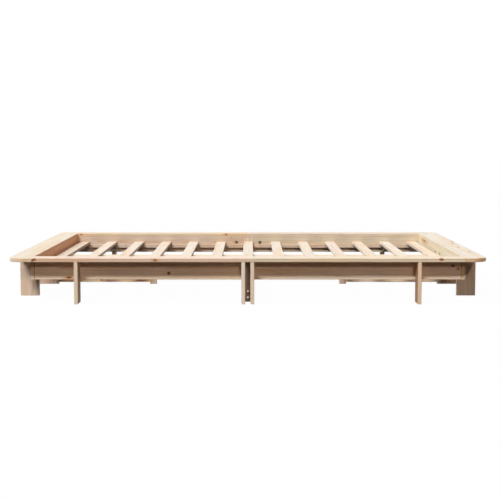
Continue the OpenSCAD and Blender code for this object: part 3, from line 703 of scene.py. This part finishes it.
def hexagon_nut(start, thick, across):
    """Nut with a hole, whose corners are cut back by a cone of 30 degrees on both sides."""
    corner = HEXAGON * across / math.sqrt(3.0)
    inner = across * NUT_FACE
    cut = np.maximum(np.linalg.norm(corner, axis=1) - inner, 0.0) * math.tan(math.radians(30))
    end = start + thick
    return holed_part(rings_of([
        (CIRCLE * HOLE, start + BEVEL), (CIRCLE * 3.5, start), (CIRCLE * inner, start), (corner, start + cut),
        (corner, end - cut), (CIRCLE * inner, end), (CIRCLE * 3.5, end), (CIRCLE * HOLE, end - BEVEL),
    ]))


def span(node, axis):
    """The two ends of a CAD node along one axis, in mm."""
    return [round(float(corner[AXES.index(axis)]) / MM, 3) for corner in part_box(node)]


def middle_of(node, axis):
    """The middle of a CAD node along one axis, in mm."""
    return sum(span(node, axis)) / 2


# How far in mm a screw's head lies inside its board, and the room that washers and nuts have
SET_IN, ROOM = 0.1, 0.1
# How far bolts lie below the battens, and screws inside the cross rail's edges and off the slats' middles
BOLT_BELOW, SCREW_INSIDE, SCREW_BESIDE = 10, 11, 15
# Where the batten screws and the plank screws are, in slat pitches from the bed's middle
BATTEN_STEPS, PLANK_STEPS = (0.5, 2.5, 4.5, 5.75), (0, 2, 5)
# Lengths of the screws, and how far down each is smooth
SHORT_SCREW, LONG_SCREW = (30, 8), (60, 24)
# Bolts reach this far past the face under their head, pocket bolts this far past the end panel's inner
# face, and the last part of each is threaded
BOLT_REACH, BOLT_THREAD, POCKET_BOLT_THREAD = 60, 24, 30
# Radius of a round pocket, and how far its middle is from the end panel or from the bed's middle
POCKET_RADIUS, POCKET_FROM_END, POCKET_FROM_MIDDLE = 10, 40, 70
# Half-moon washers and nuts: how thick and how wide they are, and how far a stud stands out of its nut
MOON_THICK, MOON_WIDE, NUT_THICK, NUT_WIDE, STUD_PAST = 5.5, 10.0, 5.0, 10.0, 2.0

moon_radius = POCKET_RADIUS - ROOM
moon_flat = moon_radius - MOON_THICK
slat_x = [middle_of(slat, "x") for slat in SLATS]
slat_pitch = slat_x[1] - slat_x[0]
slat_low, slat_top = span("slat_07", "z")
batten_y, batten_z = middle_of("batten_back", "y"), middle_of("batten_back", "z")
batten_in, batten_low = span("batten_back", "y")[0], span("batten_back", "z")[0]
panel_in, panel_out = span("panel_back_left", "y")
panel_y = (panel_in + panel_out) / 2
end_in, end_out = span("panel_right_end", "x")
post_out = span("post_back", "y")[1]
rail_low, rail_top = span("cross_rail", "z")
plank_low, plank_top = span("plank_left", "z")
side_leg_x, end_leg_y = middle_of("side_leg_back_right", "x"), middle_of("end_leg_back_right", "y")
bolt_z = batten_low - BOLT_BELOW
beam_bolt_z = (span("panel_right_end", "z")[0] + plank_low) / 2
rail_bolt_z = middle_of("low_rail_right", "z")
stud_z = slat_low + POCKET_RADIUS

# Places of the fasteners: each is a point in mm and the way that the fastener points
SIDES = (-1, 1)
BOTH = [(sx, sy) for sx in SIDES for sy in SIDES]
slat_places = [((x, y, slat_top - SET_IN), (0, 0, -1)) for x in slat_x for y in (-batten_y, 0, batten_y)]
batten_places = [
    ((sx * slat_pitch * step, sy * (batten_in + SET_IN), batten_z), (0, sy, 0))
    for step in BATTEN_STEPS for sx, sy in BOTH
]
long_places = [
    ((0, sy * (post_out - SET_IN), z), (0, -sy, 0))
    for sy in SIDES for z in (rail_low + SCREW_INSIDE, rail_top - SCREW_INSIDE)
]
long_places += [
    ((sx * (slat_pitch * step + SCREW_BESIDE), 0, plank_top - SET_IN), (0, 0, -1))
    for step in PLANK_STEPS for sx in SIDES
]
bolt_places = [((sx * side_leg_x, sy * panel_in, bolt_z), (0, sy, 0)) for sx, sy in BOTH]
bolt_places += [((sx * end_in, sy * end_leg_y, bolt_z), (sx, 0, 0)) for sx, sy in BOTH]
bolt_places += [((sx * end_out, sy * panel_y, bolt_z), (-sx, 0, 0)) for sx, sy in BOTH]
pocket_places = [
    ((sx * (end_in - POCKET_FROM_END), 0, z), (sx, 0, 0)) for sx in SIDES for z in (beam_bolt_z, rail_bolt_z)
]
stud_places = [((0, sy * panel_y, stud_z), (1, 0, 0)) for sy in SIDES]
stud_ends = [((sx * POCKET_FROM_MIDDLE, sy * panel_y, stud_z), (-sx, 0, 0)) for sx, sy in BOTH]

dice = np.random.default_rng(7)
moon = half_moon(moon_radius, moon_flat, MOON_WIDE)
nut = hexagon_nut(moon_flat - ROOM - NUT_THICK, NUT_THICK, NUT_WIDE)
cap = cap_bolt(moon_flat - ROOM, POCKET_FROM_END - moon_flat + BOLT_REACH, POCKET_BOLT_THREAD)
rod = threaded_rod(POCKET_FROM_MIDDLE - moon_flat + NUT_THICK + STUD_PAST)
hardware("slat_screws", "screws", bright_zinc, placed(wood_screw(*SHORT_SCREW), slat_places, dice))
hardware("batten_screws", "screws", yellow_zinc, placed(wood_screw(*SHORT_SCREW), batten_places, dice))
hardware("long_screws", "screws", bright_zinc, placed(wood_screw(*LONG_SCREW), long_places, dice))
hardware("dome_bolts", "bolts", zinc, placed(dome_bolt(BOLT_REACH, BOLT_THREAD), bolt_places, dice))
hardware("cap_bolts", "pocket_bolts", shade_dark_zinc,
         placed(cap, pocket_places, dice), placed(moon, pocket_places, None))
hardware("threaded_studs", "middle_studs", shade_dark_zinc,
         placed(rod, stud_places, None), placed(moon, stud_ends, None), placed(nut, stud_ends, None))


def seen_directly(tree):
    """1 for what the camera sees, also in a mirror or through glass, and 0 for what lights the bed."""
    path = add(tree, "ShaderNodeLightPath").outputs
    mirrored = calc(tree, "MAXIMUM", path["Is Glossy Ray"], path["Is Transmission Ray"])
    return calc(tree, "MAXIMUM", path["Is Camera Ray"], mirrored)


# Half the floor's width in metres
FLOOR_REACH = 40.0
# The colour of the floor as the bed is lit by it
FLOOR_BOUNCE = (0.070, 0.043, 0.034, 1.0)
# The floor as the camera sees it: a colour that takes the shadow, and the share of plain white in it
FLOOR_TONE, FLOOR_GLOW = (0.9, 0.9, 0.9, 1.0), 0.975
# Strength of the sky overhead
SKY_TOP = 0.14


def floor():
    """A wide pale floor. The camera sees it as white with the bed's own faint shadow."""
    corners = [(FLOOR_REACH * x, FLOOR_REACH * y, 0.0) for x, y in ((-1, -1), (1, -1), (1, 1), (-1, 1))]
    mesh = bpy.data.meshes.new("floor")
    mesh.from_pydata(corners, [], [(0, 1, 2, 3)])
    piece = new_object("floor", mesh)
    material, tree = empty_material("pale_floor")
    bounce = add(tree, "ShaderNodeBsdfDiffuse", {"Color": FLOOR_BOUNCE}).outputs[0]
    shown = add(tree, "ShaderNodeBsdfDiffuse", {"Color": FLOOR_TONE}).outputs[0]
    white = add(tree, "ShaderNodeEmission", {"Color": WHITE, "Strength": 1.0}).outputs[0]
    seen = add(tree, "ShaderNodeMixShader", {0: FLOOR_GLOW, 1: shown, 2: white}).outputs[0]
    surface = add(tree, "ShaderNodeMixShader", {0: seen_directly(tree), 1: bounce, 2: seen}).outputs[0]
    add(tree, "ShaderNodeOutputMaterial", {"Surface": surface})
    mesh.materials.append(material)


def sky():
    """White for the camera, and for the wood a soft light that grows with the square of the height."""
    world = bpy.data.worlds.new("studio")
    bpy.context.scene.world = world
    world.use_nodes = True
    tree = world.node_tree
    tree.nodes.clear()
    up = split(tree, add(tree, "ShaderNodeTexCoord").outputs["Generated"])[2]
    high = calc(tree, "POWER", calc(tree, "MAXIMUM", up, 0.0), 2.0)
    strength = calc(tree, "MULTIPLY", high, SKY_TOP)
    light = add(tree, "ShaderNodeBackground", {"Color": WHITE, "Strength": strength}).outputs[0]
    white = add(tree, "ShaderNodeBackground", {"Color": WHITE, "Strength": 1.0}).outputs[0]
    surface = add(tree, "ShaderNodeMixShader", {0: seen_directly(tree), 1: light, 2: white}).outputs[0]
    add(tree, "ShaderNodeOutputWorld", {"Surface": surface})


def lamp(name, way, share, degrees, colour=(1.0, 1.0, 1.0)):
    """A distant lamp that shines along way and looks this many degrees wide, so more is softer. A
    white wall that faces it shows share of white."""
    made = bpy.data.lights.new(name, "SUN")
    made.color = colour
    made.energy = math.pi * share
    made.angle = math.radians(degrees)
    way = np.array(way, float) / np.linalg.norm(way)
    turn = math.atan2(way[1], way[0]) - math.pi / 2
    new_object(name, made).rotation_euler = (math.acos(-way[2]), 0.0, turn)


# Three keys side by side, as one wide lamp: their turns in degrees, the level part and the downward
# part of the way that they shine, and the share of white that each gives
KEY_TURNS, KEY_REACH, KEY_FALL, KEY_SHARE = (14.3, 20.8, 27.3), 1.07, 0.87, 0.243

floor()
sky()
for number, turn in enumerate(np.radians(KEY_TURNS)):
    way = (KEY_REACH * math.sin(turn), KEY_REACH * math.cos(turn), -KEY_FALL)
    lamp("key_%d" % number, way, KEY_SHARE, 7.0)
lamp("low_front", (-0.12, 1.0, -0.355), 0.163, 6.0, (1.0, 0.77, 0.64))
lamp("left", (1.0, 0.0, -0.9), 0.51, 40.0)
lamp("right_back", (-0.8, -0.6, -0.8), 0.18, 60.0)

# The camera that was fitted to the photo: its place in metres, its tilt in radians, and its focal
# length and the photo's side in pixels
CAMERA_SPOT, CAMERA_TILT = (0.0102, -6.3158, 0.7484), 0.0898
FOCAL_PIXELS, PHOTO_PIXELS = 1195.1, 500

camera = bpy.data.cameras.new("camera")
camera.sensor_width = 36.0
camera.lens = FOCAL_PIXELS / PHOTO_PIXELS * camera.sensor_width
camera.clip_start, camera.clip_end = 0.1, 200.0
viewer = new_object("camera", camera)
viewer.location = CAMERA_SPOT
viewer.rotation_euler = (math.pi / 2 - CAMERA_TILT, 0.0, 0.0)
bpy.context.scene.camera = viewer
bpy.context.scene.view_settings.view_transform = "Standard"
